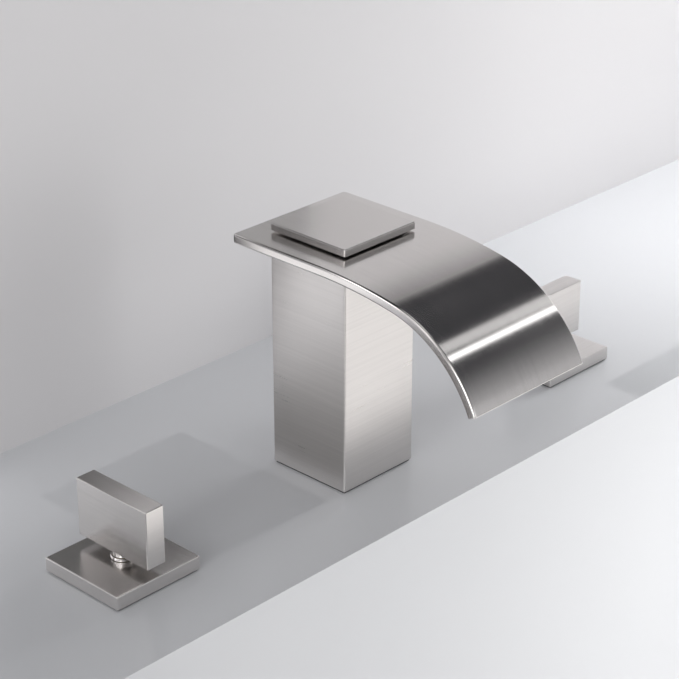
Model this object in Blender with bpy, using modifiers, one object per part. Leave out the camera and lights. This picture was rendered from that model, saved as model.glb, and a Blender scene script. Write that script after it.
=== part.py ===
"""Deck-mounted roman tub faucet: a waterfall spout on a square column between two square lever valves.

The deck plane is z = 0 and the origin is the middle of the column's foot. +X points to the cold valve,
+Y to the wall behind the tub, and water falls towards -Y. All sizes are in metres.
"""

import math

import bmesh
import bpy
from mathutils import Matrix, Vector

# Driving sizes of the set
FIT_GAP = 0.0003
OVERRUN = 0.0020
MERGE_DISTANCE = 0.00001
DECK_GRIP = 0.0220
GASKET_THICKNESS = 0.0004
GASKET_INSET = 0.0010
HOT_VALVE_X = -0.1490
COLD_VALVE_X = 0.1635

# Driving sizes of the spout
COLUMN_SIDE = 0.0500
COLUMN_WALL = 0.0025
COLUMN_TOP_WALL = 0.0060
SPOUT_UNDERSIDE = 0.1225
SPOUT_WIDTH = 0.0792
SPOUT_THICKNESS = 0.0050
SPOUT_REAR = 0.0370
SPOUT_STRAIGHT_END = -0.0200
SPOUT_EASE_RADIUS = 0.2700
SPOUT_FALL_RADIUS = 0.0712
SPOUT_EASE_ANGLE = math.radians(10.2)
SPOUT_END_ANGLE = math.radians(65.8)
CAP_THICKNESS = 0.0040
CAP_SHADOW_GAP = 0.0008
RISER_RADIUS = 0.0105
RISER_BORE = 0.0070
RISER_TAIL = 0.0400
RISER_PITCH = 0.0018
STUD_RADIUS = 0.0020

# Driving sizes of one valve
ESCUTCHEON_SIDE = 0.0510
ESCUTCHEON_HEIGHT = 0.0080
LEVER_LENGTH = 0.0485
LEVER_WIDTH = 0.0110
LEVER_HEIGHT = 0.0304
LEVER_UNDERSIDE = 0.0126
VALVE_RADIUS = 0.0140
SHANK_PITCH = 0.0015
TAIL_PITCH = 0.0018
CARTRIDGE_RADIUS = 0.0105
CHAMBER_RADIUS = 0.0088
SPINDLE_RADIUS = 0.0030
DISC_THICKNESS = 0.0030

# Facets and shading
FINE_SIDES = 32
PLAIN_SIDES = 20
SMOOTH_ANGLE = math.radians(35)

# Colours, roughness and metallic values
BRUSHED_NICKEL = ((0.56, 0.54, 0.52, 1.0), 0.32, 1.0)
BRASS = ((0.62, 0.47, 0.24, 1.0), 0.38, 1.0)
ZINC_STEEL = ((0.58, 0.59, 0.60, 1.0), 0.42, 1.0)
BLACK_RUBBER = ((0.020, 0.020, 0.021, 1.0), 0.80, 0.0)
WHITE_NYLON = ((0.72, 0.71, 0.67, 1.0), 0.55, 0.0)
ALUMINA = ((0.80, 0.79, 0.76, 1.0), 0.22, 0.0)


def clear_scene():
    """Start from an empty scene."""
    for old in list(bpy.data.objects):
        bpy.data.objects.remove(old, do_unlink=True)


def make_collection(name):
    """Return a new collection linked to the scene."""
    collection = bpy.data.collections.new(name)
    bpy.context.scene.collection.children.link(collection)
    return collection


clear_scene()
FAUCET = make_collection("roman_tub_faucet")
CUTTERS = make_collection("cutters")


def place(name, mesh, collection):
    """Link a mesh as a new object."""
    obj = bpy.data.objects.new(name, mesh)
    collection.objects.link(obj)
    return obj


def finish(obj, finish_values):
    """Give a piece its own material."""
    colour, roughness, metallic = finish_values
    material = bpy.data.materials.new(obj.name + "_finish")
    material.use_nodes = True
    shader = material.node_tree.nodes["Principled BSDF"]
    shader.inputs["Base Color"].default_value = colour
    shader.inputs["Roughness"].default_value = roughness
    shader.inputs["Metallic"].default_value = metallic
    material.diffuse_color = colour
    obj.data.materials.clear()
    obj.data.materials.append(material)
    return obj


def settle(obj, finish_values):
    """Apply a round piece's modifiers, drop their tools, shade it smooth and give it its finish."""
    graph = bpy.context.evaluated_depsgraph_get()
    mesh = bpy.data.meshes.new_from_object(obj.evaluated_get(graph))
    mesh.name = obj.name
    obj.modifiers.clear()
    for tool in list(obj.children):
        bpy.data.objects.remove(tool, do_unlink=True)
    obj.data = mesh
    mesh.shade_smooth()
    mesh.set_sharp_from_angle(angle=SMOOTH_ANGLE)
    return finish(obj, finish_values)


def turned(name, profile, sides, collection=FAUCET, closed=False):
    """Turn a profile of (radius, height) points, which runs down its outer side, about Z."""
    mesh = bpy.data.meshes.new(name)
    outline = bmesh.new()
    points = [outline.verts.new((radius, 0.0, height)) for radius, height in profile]
    for first, second in zip(points, points[1:]):
        outline.edges.new((first, second))
    if closed:
        outline.edges.new((points[-1], points[0]))
    outline.to_mesh(mesh)
    outline.free()
    obj = place(name, mesh, collection)
    screw = obj.modifiers.new("Turn", "SCREW")
    screw.angle = 2 * math.pi
    screw.steps = sides
    screw.render_steps = sides
    screw.use_merge_vertices = True
    screw.merge_threshold = MERGE_DISTANCE
    return obj


def rod(name, radius, low, high, sides, collection=FAUCET):
    """Solid round bar from one height to another."""
    return turned(name, [(0.0, high), (radius, high), (radius, low), (0.0, low)], sides, collection)


def ring(name, inner, outer, low, high, sides, collection=FAUCET):
    """Round washer or sleeve from one height to another."""
    profile = [(outer, high), (outer, low), (inner, low), (inner, high)]
    return turned(name, profile, sides, collection, closed=True)


def block(name, size, low, collection=FAUCET):
    """Box of the given (x, y, z) size, centred on Z and standing at a height."""
    mesh = bpy.data.meshes.new(name)
    cube = bmesh.new()
    bmesh.ops.create_cube(cube, size=1.0, matrix=Matrix.Diagonal((*size, 1.0)))
    bmesh.ops.translate(cube, verts=cube.verts, vec=(0.0, 0.0, low + size[2] / 2))
    cube.to_mesh(mesh)
    cube.free()
    return place(name, mesh, collection)


def ease(obj, width, segments=2):
    """Ease a piece's sharp edges with a Bevel modifier."""
    bevel = obj.modifiers.new("Eased edges", "BEVEL")
    bevel.width = width
    bevel.segments = segments
    bevel.limit_method = "ANGLE"
    bevel.angle_limit = math.radians(50)
    return obj


def combine(obj, tool, operation):
    """Cut, join or keep what a tool body shares with a piece, and store the tool as a guide."""
    tool.parent = obj
    tool.hide_render = True
    tool.display_type = "WIRE"
    boolean = obj.modifiers.new(tool.name, "BOOLEAN")
    boolean.operation = operation
    boolean.object = tool
    boolean.solver = "EXACT"
    return obj


def cut(obj, tool):
    """Take a tool body out of a piece."""
    return combine(obj, tool, "DIFFERENCE")


def cut_round_hole(obj, name, radius, low, high, sides, centre=(0.0, 0.0)):
    """Cut an upright round hole."""
    tool = rod(name, radius, low, high, sides, CUTTERS)
    tool.location = (centre[0], centre[1], 0.0)
    return cut(obj, tool)


def hexagon(name, across_flats, low, high, collection=CUTTERS):
    """Six-sided bar, its flats the given distance apart."""
    mesh = bpy.data.meshes.new(name)
    bar = bmesh.new()
    corner_radius = across_flats / math.sqrt(3)
    bmesh.ops.create_cone(bar, cap_ends=True, segments=6, radius1=corner_radius,
                          radius2=corner_radius, depth=high - low)
    bmesh.ops.translate(bar, verts=bar.verts, vec=(0.0, 0.0, (low + high) / 2))
    bar.to_mesh(mesh)
    bar.free()
    return place(name, mesh, collection)


def hex_nut(name, across_flats, bore, low, high, sides):
    """Hexagon nut with its corners turned down to a chamfer on both faces."""
    flat = across_flats / 2
    corner = across_flats / math.sqrt(3) + FIT_GAP
    chamfer = (corner - flat) * math.tan(math.radians(30))
    profile = [(flat, high), (corner, high - chamfer), (corner, low + chamfer), (flat, low),
               (bore, low), (bore, high)]
    nut = turned(name, profile, sides, closed=True)
    stock = hexagon(name + "_flats", across_flats, low - OVERRUN, high + OVERRUN)
    return combine(nut, stock, "INTERSECT")


def square_gasket(name, side, hole_radius):
    """Thin square rubber gasket with a round hole, lying on the deck."""
    gasket = block(name, (side, side, GASKET_THICKNESS), 0.0)
    cut_round_hole(gasket, name + "_hole", hole_radius, -OVERRUN, GASKET_THICKNESS + OVERRUN,
                   PLAIN_SIDES)
    return finish(gasket, BLACK_RUBBER)


# Spout column and what stands in it
PIECE_FOOT = GASKET_THICKNESS + FIT_GAP
EDGE_EASE = 0.0006
COLUMN_TOP = SPOUT_UNDERSIDE - FIT_GAP
RISER_BOSS_WALL = 0.0027
RISER_BOSS_LENGTH = 0.0080
RISER_LEDGE = 0.0020
SEAL_SECTION = 0.0015
SEAL_RADIUS = RISER_BORE + 0.0022
GUIDE_HEIGHT = 0.0060
RISER_SEAT_RADIUS = RISER_RADIUS + FIT_GAP
RISER_BOSS_RADIUS = RISER_SEAT_RADIUS + RISER_BOSS_WALL
RISER_TOP = COLUMN_TOP - COLUMN_TOP_WALL + RISER_LEDGE
STUD_HOLE_RADIUS = STUD_RADIUS + FIT_GAP
STUD_WASHER_RADIUS = 2 * STUD_RADIUS
STUD_X = RISER_BOSS_RADIUS + FIT_GAP + STUD_WASHER_RADIUS
COLUMN_CEILING = COLUMN_TOP - COLUMN_TOP_WALL
THREAD_DEPTH_SHARE = 0.55
RISER_THREAD_TOP = -0.0180


def middle_of_thread(radius, pitch):
    """Radius half way between a thread's crest and its root."""
    return radius - pitch * THREAD_DEPTH_SHARE / 2


def build_spout_column():
    """Square tube with a closed top, a boss for the riser, two stud holes and a seal groove."""
    column = block("spout_column", (COLUMN_SIDE, COLUMN_SIDE, COLUMN_TOP - PIECE_FOOT), PIECE_FOOT)
    ease(column, EDGE_EASE)
    inside = COLUMN_SIDE - 2 * COLUMN_WALL
    hollow_low = PIECE_FOOT - OVERRUN
    hollow = block("column_hollow", (inside, inside, COLUMN_CEILING - hollow_low), hollow_low, CUTTERS)
    cut(column, hollow)
    boss = ring("riser_boss", RISER_SEAT_RADIUS, RISER_BOSS_RADIUS,
                COLUMN_CEILING - RISER_BOSS_LENGTH, COLUMN_CEILING + RISER_LEDGE, FINE_SIDES, CUTTERS)
    combine(column, boss, "UNION")
    cut_round_hole(column, "riser_seat", RISER_SEAT_RADIUS, COLUMN_CEILING - OVERRUN,
                   RISER_TOP + FIT_GAP, FINE_SIDES)
    cut_round_hole(column, "water_way", RISER_BORE, RISER_TOP - OVERRUN, COLUMN_TOP + OVERRUN,
                   FINE_SIDES)
    groove_depth = SEAL_SECTION + FIT_GAP
    groove = ring("seal_groove", SEAL_RADIUS - groove_depth / 2, SEAL_RADIUS + groove_depth / 2,
                  COLUMN_TOP - groove_depth, COLUMN_TOP + OVERRUN, FINE_SIDES, CUTTERS)
    cut(column, groove)
    for side in (-1, 1):
        cut_round_hole(column, "column_stud_hole", STUD_HOLE_RADIUS, COLUMN_CEILING - OVERRUN,
                       COLUMN_TOP + OVERRUN, PLAIN_SIDES, (side * STUD_X, 0.0))
    return finish(column, BRUSHED_NICKEL)


def build_riser_pipe():
    """Water pipe from the column's top wall down through the deck, its lower end threaded.

    The threaded length is plain at the thread's middle diameter.
    """
    low = -DECK_GRIP - RISER_TAIL
    thread = middle_of_thread(RISER_RADIUS, RISER_PITCH)
    profile = [
        (RISER_RADIUS, RISER_TOP),
        (RISER_RADIUS, RISER_THREAD_TOP),
        (thread, RISER_THREAD_TOP),
        (thread, low),
        (RISER_BORE, low),
        (RISER_BORE, RISER_TOP),
    ]
    pipe = turned("riser_pipe", profile, FINE_SIDES, closed=True)
    return settle(pipe, BRASS)


def build_base_guide():
    """Nylon plate that centres the riser in the column's foot."""
    side = COLUMN_SIDE - 2 * COLUMN_WALL - 2 * FIT_GAP
    guide = block("base_guide", (side, side, GUIDE_HEIGHT), PIECE_FOOT)
    cut_round_hole(guide, "guide_hole", RISER_SEAT_RADIUS, PIECE_FOOT - OVERRUN,
                   PIECE_FOOT + GUIDE_HEIGHT + OVERRUN, FINE_SIDES)
    return finish(guide, WHITE_NYLON)


def build_inlet_seal():
    """O-ring between the column's top and the spout."""
    steps = 8
    radius = SEAL_SECTION / 2
    middle = COLUMN_TOP - radius
    profile = []
    for step in range(steps):
        angle = 2 * math.pi * step / steps
        profile.append((SEAL_RADIUS + radius * math.cos(angle), middle - radius * math.sin(angle)))
    seal = turned("inlet_seal", profile, PLAIN_SIDES, closed=True)
    return settle(seal, BLACK_RUBBER)


# Waterfall spout
SPOUT_TOP = SPOUT_UNDERSIDE + SPOUT_THICKNESS
SPOUT_SKIN = 0.0010
SPOUT_SIDE_WALL = 0.0042
SPOUT_EDGE_ROUND = 0.0009
REAR_CORNER_RADIUS = 0.0022
PILLAR_WALL = 0.0015
EASE_STEPS = 4
FALL_STEPS = 20


def swept_strip(name, half_width, top_depth, low_depth, rear, run_out, collection):
    """Sweep a flat rectangle forward and down the spout's two arcs, tangent to each other.

    The depths are measured down from the spout's top surface, and run_out extends the free end.
    """
    mesh = bpy.data.meshes.new(name)
    strip = bmesh.new()
    corners = [(-half_width, top_depth), (half_width, top_depth),
               (half_width, low_depth), (-half_width, low_depth)]
    section = strip.faces.new([strip.verts.new((x, rear, SPOUT_TOP - depth)) for x, depth in corners])
    front = push_face(strip, section, Vector((0.0, SPOUT_STRAIGHT_END - rear, 0.0)))
    ease_centre = Vector((0.0, SPOUT_STRAIGHT_END, SPOUT_TOP - SPOUT_EASE_RADIUS))
    front = bend_face(strip, front, ease_centre, SPOUT_EASE_ANGLE, EASE_STEPS)
    inward = Vector((0.0, math.sin(SPOUT_EASE_ANGLE), -math.cos(SPOUT_EASE_ANGLE)))
    fall_centre = ease_centre + inward * (SPOUT_FALL_RADIUS - SPOUT_EASE_RADIUS)
    front = bend_face(strip, front, fall_centre, SPOUT_END_ANGLE - SPOUT_EASE_ANGLE, FALL_STEPS)
    if run_out:
        heading = Vector((0.0, -math.cos(SPOUT_END_ANGLE), -math.sin(SPOUT_END_ANGLE)))
        push_face(strip, front, heading * run_out)
    bmesh.ops.recalc_face_normals(strip, faces=strip.faces)
    strip.to_mesh(mesh)
    strip.free()
    return place(name, mesh, collection)


def extrude_face(shape, face):
    """Extrude one face in place and return the face at the new end."""
    result = bmesh.ops.extrude_face_region(shape, geom=[face, *face.edges, *face.verts])
    return next(item for item in result["geom"] if isinstance(item, bmesh.types.BMFace))


def push_face(shape, face, step):
    """Extrude one face by a vector and return the face at the new end."""
    end = extrude_face(shape, face)
    bmesh.ops.translate(shape, verts=end.verts, vec=step)
    return end


def bend_face(shape, face, centre, angle, steps):
    """Extrude one face round an X axis through a centre and return the face at the new end."""
    turn = Matrix.Rotation(angle / steps, 3, "X")
    for _ in range(steps):
        face = extrude_face(shape, face)
        bmesh.ops.rotate(shape, verts=face.verts, cent=centre, matrix=turn)
    return face


def round_spout_edges(spout):
    """Round the spout's two rear corners in plan, then all its long edges."""
    shape = bmesh.new()
    shape.from_mesh(spout.data)
    corners = [edge for edge in shape.edges
               if all(vert.co.y > SPOUT_REAR - MERGE_DISTANCE for vert in edge.verts)
               and abs(edge.verts[0].co.x - edge.verts[1].co.x) < MERGE_DISTANCE]
    bmesh.ops.bevel(shape, geom=corners, offset=REAR_CORNER_RADIUS, segments=5, profile=0.5,
                    affect="EDGES", material=-1)
    sharp = [edge for edge in shape.edges if edge.calc_face_angle(0.0) > math.radians(50)]
    bmesh.ops.bevel(shape, geom=sharp, offset=SPOUT_EDGE_ROUND, segments=3, profile=0.5,
                    affect="EDGES", material=-1)
    shape.to_mesh(spout.data)
    shape.free()


def build_waterfall_spout():
    """Thin hollow plate that bends down to a slot as wide as the sheet of water."""
    spout = swept_strip("waterfall_spout", SPOUT_WIDTH / 2, 0.0, SPOUT_THICKNESS, SPOUT_REAR, 0.0,
                        FAUCET)
    round_spout_edges(spout)
    chamber = swept_strip("spout_chamber", SPOUT_WIDTH / 2 - SPOUT_SIDE_WALL, SPOUT_SKIN,
                          SPOUT_THICKNESS - SPOUT_SKIN, SPOUT_REAR - SPOUT_SIDE_WALL, OVERRUN,
                          CUTTERS)
    cut(spout, chamber)
    for side in (-1, 1):
        pillar = rod("stud_pillar", STUD_HOLE_RADIUS + PILLAR_WALL, SPOUT_UNDERSIDE + SPOUT_SKIN / 2,
                     SPOUT_TOP - SPOUT_SKIN / 2, PLAIN_SIDES, CUTTERS)
        pillar.location.x = side * STUD_X
        combine(spout, pillar, "UNION")
        cut_round_hole(spout, "spout_stud_hole", STUD_HOLE_RADIUS, SPOUT_UNDERSIDE - OVERRUN,
                       SPOUT_TOP + OVERRUN, PLAIN_SIDES, (side * STUD_X, 0.0))
    cut_round_hole(spout, "spout_inlet", RISER_BORE, SPOUT_UNDERSIDE - OVERRUN,
                   SPOUT_UNDERSIDE + SPOUT_THICKNESS / 2, FINE_SIDES)
    return settle(spout, BRUSHED_NICKEL)


# Cap plate and its studs
CAP_UNDERSIDE = SPOUT_TOP + CAP_SHADOW_GAP
CAP_PAD_INSET = 0.0060
STUD_CAP_DEPTH = 0.0022
STUD_WASHER_THICKNESS = 0.0008
STUD_NUT_FLATS = 0.0070
STUD_NUT_HEIGHT = 0.0032
STUD_TAIL = 0.0020
STUD_NUT_TOP = COLUMN_CEILING - 2 * FIT_GAP - STUD_WASHER_THICKNESS
STUD_NUT_LOW = STUD_NUT_TOP - STUD_NUT_HEIGHT


def build_cap_plate():
    """Square cover over the spout, as wide as the column, on a thin pad that leaves a shadow line."""
    cap = block("cap_plate", (COLUMN_SIDE, COLUMN_SIDE, CAP_THICKNESS), CAP_UNDERSIDE)
    ease(cap, EDGE_EASE)
    pad_side = COLUMN_SIDE - 2 * CAP_PAD_INSET
    pad_low = SPOUT_TOP + FIT_GAP
    pad = block("cap_pad", (pad_side, pad_side, CAP_UNDERSIDE + CAP_THICKNESS / 2 - pad_low), pad_low,
                CUTTERS)
    combine(cap, pad, "UNION")
    for side in (-1, 1):
        cut_round_hole(cap, "cap_stud_hole", STUD_HOLE_RADIUS, pad_low - OVERRUN,
                       CAP_UNDERSIDE + STUD_CAP_DEPTH + FIT_GAP, PLAIN_SIDES, (side * STUD_X, 0.0))
    return finish(cap, BRUSHED_NICKEL)


def build_cap_stud(prefix, x):
    """Stud that clamps the cap, the spout and the column's top together."""
    low = STUD_NUT_LOW - STUD_TAIL
    stud = rod(prefix + "_cap_stud", STUD_RADIUS, low, CAP_UNDERSIDE + STUD_CAP_DEPTH, PLAIN_SIDES)
    stud.location.x = x
    return settle(stud, ZINC_STEEL)


def build_stud_washer(prefix, x):
    """Washer under the column's top wall."""
    high = COLUMN_CEILING - FIT_GAP
    washer = ring(prefix + "_stud_washer", STUD_HOLE_RADIUS, STUD_WASHER_RADIUS,
                  high - STUD_WASHER_THICKNESS, high, PLAIN_SIDES)
    washer.location.x = x
    return settle(washer, ZINC_STEEL)


def build_stud_nut(prefix, x):
    """Hexagon nut on the stud, inside the column."""
    nut = hex_nut(prefix + "_stud_nut", STUD_NUT_FLATS, STUD_HOLE_RADIUS, STUD_NUT_LOW, STUD_NUT_TOP,
                  PLAIN_SIDES)
    nut.location.x = x
    return settle(nut, BRASS)


# Fixings under the deck, the same for the spout and for each valve
RUBBER_WASHER_THICKNESS = 0.0030
STEEL_WASHER_THICKNESS = 0.0015
WASHER_RIM = 0.0080
LOCK_NUT_HEIGHT = 0.0080
LOCK_NUT_WALL = 0.0040


def build_deck_fixings(prefix, shank_radius, parent=None):
    """Rubber washer, steel washer and lock nut that pull a shank down from under the deck."""
    bore = shank_radius + FIT_GAP
    rubber_low = -DECK_GRIP - RUBBER_WASHER_THICKNESS
    rubber = ring(prefix + "_rubber_washer", bore, bore + WASHER_RIM, rubber_low, -DECK_GRIP,
                  PLAIN_SIDES)
    settle(rubber, BLACK_RUBBER)
    steel_high = rubber_low - FIT_GAP
    steel_low = steel_high - STEEL_WASHER_THICKNESS
    steel = ring(prefix + "_steel_washer", bore, bore + WASHER_RIM, steel_low, steel_high,
                 PLAIN_SIDES)
    settle(steel, ZINC_STEEL)
    nut_high = steel_low - FIT_GAP
    nut = hex_nut(prefix + "_lock_nut", 2 * (bore + LOCK_NUT_WALL), bore, nut_high - LOCK_NUT_HEIGHT,
                  nut_high, PLAIN_SIDES)
    for piece in (rubber, steel, nut):
        piece.parent = parent
    settle(nut, BRASS)


# Escutcheon and the nut and ring that hold it
ESCUTCHEON_WALL = 0.0020
ESCUTCHEON_ROOF = 0.0022
NECK_RADIUS = 0.0044
NECK_HOLE_RADIUS = NECK_RADIUS + FIT_GAP
RING_WALL = 0.0009
RING_HEIGHT = 0.0012
FLANGE_NUT_HEIGHT = 0.0042
FLANGE_NUT_WALL = 0.0040
VALVE_HOLE_RADIUS = VALVE_RADIUS + FIT_GAP
NECK_TOP = ESCUTCHEON_HEIGHT + RING_HEIGHT + FIT_GAP / 3


def build_escutcheon(prefix, seat):
    """Square cover pressed as a shallow box, with a round hole for the cartridge's neck."""
    height = ESCUTCHEON_HEIGHT - PIECE_FOOT
    cover = block(prefix + "_escutcheon", (ESCUTCHEON_SIDE, ESCUTCHEON_SIDE, height), PIECE_FOOT)
    ease(cover, EDGE_EASE)
    inside = ESCUTCHEON_SIDE - 2 * ESCUTCHEON_WALL
    hollow = block(prefix + "_escutcheon_hollow",
                   (inside, inside, ESCUTCHEON_HEIGHT - ESCUTCHEON_ROOF - PIECE_FOOT + OVERRUN),
                   PIECE_FOOT - OVERRUN, CUTTERS)
    cut(cover, hollow)
    cut_round_hole(cover, prefix + "_neck_hole", NECK_HOLE_RADIUS,
                   ESCUTCHEON_HEIGHT - ESCUTCHEON_ROOF - OVERRUN, ESCUTCHEON_HEIGHT + OVERRUN,
                   FINE_SIDES)
    cover.parent = seat
    return finish(cover, BRUSHED_NICKEL)


def build_escutcheon_ring(prefix, seat):
    """Thin ring nut on the neck that holds the escutcheon down and shows at the stem's foot."""
    low = ESCUTCHEON_HEIGHT + FIT_GAP
    outer = NECK_HOLE_RADIUS + RING_WALL
    shoulder = RING_WALL / 3
    high = low + RING_HEIGHT
    profile = [(outer - shoulder, high), (outer, high - shoulder), (outer, low),
               (NECK_HOLE_RADIUS, low), (NECK_HOLE_RADIUS, high)]
    nut = turned(prefix + "_escutcheon_ring", profile, FINE_SIDES, closed=True)
    nut.parent = seat
    return settle(nut, BRUSHED_NICKEL)


def build_flange_nut(prefix, seat):
    """Hexagon nut on the gasket that hangs the valve body in the deck hole."""
    nut = hex_nut(prefix + "_flange_nut", 2 * (VALVE_HOLE_RADIUS + FLANGE_NUT_WALL), VALVE_HOLE_RADIUS,
                  PIECE_FOOT, PIECE_FOOT + FLANGE_NUT_HEIGHT, PLAIN_SIDES)
    nut.parent = seat
    return settle(nut, BRASS)


# Valve body: a shank whose water comes up an inner inlet tube and leaves by a side outlet
VALVE_WALL = 0.0020
VALVE_TOP = 0.0046
GLAND_HEIGHT = 0.0035
GLAND_SEAT_DEPTH = 0.0060
CARTRIDGE_SEAT = -0.0330
INLET_BORE = 0.0045
INLET_WALL = 0.0018
SEAT_RIM = 0.0086
SEAT_RIM_HEIGHT = 0.0020
ANNULUS_FLOOR = -0.0620
FLOOR_THICKNESS = 0.0050
TAIL_RADIUS = 0.0103
TAIL_LENGTH = 0.0180
OUTLET_HEIGHT = -0.0540
OUTLET_RADIUS = 0.0083
OUTLET_BORE = 0.0052
OUTLET_REACH = 0.0320
SHANK_THREAD_TOP = 0.0040
SHANK_THREAD_LOW = -0.0455
CARTRIDGE_HOLE_RADIUS = CARTRIDGE_RADIUS + FIT_GAP
VALVE_BORE = VALVE_RADIUS - VALVE_WALL
INLET_TUBE_RADIUS = INLET_BORE + INLET_WALL
BODY_LOW = ANNULUS_FLOOR - FLOOR_THICKNESS


def build_valve_body(prefix, seat, outlet_turn):
    """Brass shank with a seat for the cartridge, a holed floor and an outlet nipple on one side.

    The threaded length is plain at the thread's middle diameter.
    """
    floor_hole = INLET_TUBE_RADIUS + FIT_GAP
    thread = middle_of_thread(VALVE_RADIUS, SHANK_PITCH)
    profile = [
        (VALVE_RADIUS, VALVE_TOP),
        (VALVE_RADIUS, SHANK_THREAD_TOP),
        (thread, SHANK_THREAD_TOP),
        (thread, SHANK_THREAD_LOW),
        (VALVE_RADIUS, SHANK_THREAD_LOW),
        (VALVE_RADIUS, BODY_LOW),
        (floor_hole, BODY_LOW),
        (floor_hole, ANNULUS_FLOOR),
        (VALVE_BORE, ANNULUS_FLOOR),
        (VALVE_BORE, VALVE_TOP - GLAND_SEAT_DEPTH - VALVE_WALL),
        (CARTRIDGE_HOLE_RADIUS, VALVE_TOP - GLAND_SEAT_DEPTH),
        (CARTRIDGE_HOLE_RADIUS, VALVE_TOP),
    ]
    body = turned(prefix + "_valve_body", profile, FINE_SIDES, closed=True)
    middle = (VALVE_RADIUS + VALVE_BORE) / 2
    nipple = rod(prefix + "_outlet_nipple", OUTLET_RADIUS, middle, OUTLET_REACH, PLAIN_SIDES, CUTTERS)
    bore = rod(prefix + "_outlet_bore", OUTLET_BORE, INLET_TUBE_RADIUS, OUTLET_REACH + OVERRUN,
               PLAIN_SIDES, CUTTERS)
    for tool in (nipple, bore):
        tool.rotation_euler.y = math.pi / 2
        tool.location.z = OUTLET_HEIGHT
    combine(body, nipple, "UNION")
    cut(body, bore)
    body.rotation_euler.z = outlet_turn
    body.parent = seat
    return settle(body, BRASS)


def build_inlet_tube(prefix, seat):
    """Brass tube screwed in from below: its rim is the cartridge's seat, its tail takes the supply."""
    tail_top = BODY_LOW - FIT_GAP
    thread_top = tail_top - VALVE_WALL
    thread = middle_of_thread(TAIL_RADIUS, TAIL_PITCH)
    profile = [
        (SEAT_RIM, CARTRIDGE_SEAT),
        (SEAT_RIM, CARTRIDGE_SEAT - SEAT_RIM_HEIGHT),
        (INLET_TUBE_RADIUS, CARTRIDGE_SEAT - 2 * SEAT_RIM_HEIGHT),
        (INLET_TUBE_RADIUS, tail_top),
        (TAIL_RADIUS, tail_top),
        (TAIL_RADIUS, thread_top),
        (thread, thread_top),
        (thread, BODY_LOW - TAIL_LENGTH),
        (INLET_BORE, BODY_LOW - TAIL_LENGTH),
        (INLET_BORE, CARTRIDGE_SEAT),
    ]
    tube = turned(prefix + "_inlet_tube", profile, FINE_SIDES, closed=True)
    tube.parent = seat
    return settle(tube, BRASS)


# Ceramic disc cartridge
CHAMBER_TOP = -0.0100
CARTRIDGE_SHOULDER = 0.0005
GLAND_BORE_RADIUS = 0.0060
NECK_ROOT_RADIUS = GLAND_BORE_RADIUS - FIT_GAP
NECK_ROOT_TOP = 0.0049
SPINDLE_HOLE_RADIUS = SPINDLE_RADIUS + FIT_GAP
SEAL_COMPRESSED = 0.0033
WINDOW_WIDTH = 0.0070
WINDOW_HEIGHT = 0.0060
DISC_RADIUS = CHAMBER_RADIUS - FIT_GAP
PORT_RADIUS = 0.0024
PORT_OFFSET = 0.0053
SEAL_LOW = CARTRIDGE_SEAT + FIT_GAP
SEAL_HIGH = SEAL_LOW + SEAL_COMPRESSED
FIXED_LOW = SEAL_HIGH + FIT_GAP
FIXED_HIGH = FIXED_LOW + DISC_THICKNESS
MOVING_LOW = FIXED_HIGH + FIT_GAP
MOVING_HIGH = MOVING_LOW + DISC_THICKNESS
TANG_DEPTH = 0.0015
TANG_WIDTH = 0.0036
TANG_LENGTH = 0.0110
FOOT_HEIGHT = 0.0018
THRUST_HEIGHT = 0.0012
STALK_RADIUS = 0.0045


def build_cartridge_body(prefix, seat):
    """Brass cartridge sleeve with a neck for the spindle and two windows for the water."""
    low = CARTRIDGE_SEAT + 2 * FIT_GAP
    profile = [
        (NECK_RADIUS, NECK_TOP),
        (NECK_RADIUS, NECK_ROOT_TOP),
        (NECK_ROOT_RADIUS, NECK_ROOT_TOP),
        (NECK_ROOT_RADIUS, CARTRIDGE_SHOULDER),
        (CARTRIDGE_RADIUS, CARTRIDGE_SHOULDER),
        (CARTRIDGE_RADIUS, low),
        (CHAMBER_RADIUS, low),
        (CHAMBER_RADIUS, CHAMBER_TOP),
        (SPINDLE_HOLE_RADIUS, CHAMBER_TOP),
        (SPINDLE_HOLE_RADIUS, NECK_TOP),
    ]
    body = turned(prefix + "_cartridge_body", profile, FINE_SIDES, closed=True)
    window_low = MOVING_HIGH + FIT_GAP + FOOT_HEIGHT
    window = block(prefix + "_windows", (2 * (CARTRIDGE_RADIUS + OVERRUN), WINDOW_WIDTH, WINDOW_HEIGHT),
                   window_low, CUTTERS)
    cut(body, window)
    body.parent = seat
    return settle(body, BRASS)


def build_gland_nut(prefix, seat):
    """Ring nut with four spanner notches that holds the cartridge in the valve body."""
    low = CARTRIDGE_SHOULDER + FIT_GAP
    high = low + GLAND_HEIGHT
    nut = ring(prefix + "_gland_nut", GLAND_BORE_RADIUS, CARTRIDGE_RADIUS, low, high, FINE_SIDES)
    notch_depth = GLAND_HEIGHT / 3
    notch_width = (CARTRIDGE_RADIUS - GLAND_BORE_RADIUS) / 2
    length = 2 * (CARTRIDGE_RADIUS + OVERRUN)
    for turn in range(2):
        notch = block(prefix + "_gland_notch", (length, notch_width, notch_depth + OVERRUN),
                      high - notch_depth, CUTTERS)
        notch.rotation_euler.z = turn * math.pi / 2
        cut(nut, notch)
    nut.parent = seat
    return settle(nut, BRASS)


def build_disc_seal(prefix, seat):
    """Rubber ring that presses the ceramic discs together on the inlet tube."""
    seal = ring(prefix + "_disc_seal", INLET_TUBE_RADIUS, DISC_RADIUS, SEAL_LOW, SEAL_HIGH, PLAIN_SIDES)
    seal.parent = seat
    return settle(seal, BLACK_RUBBER)


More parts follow.
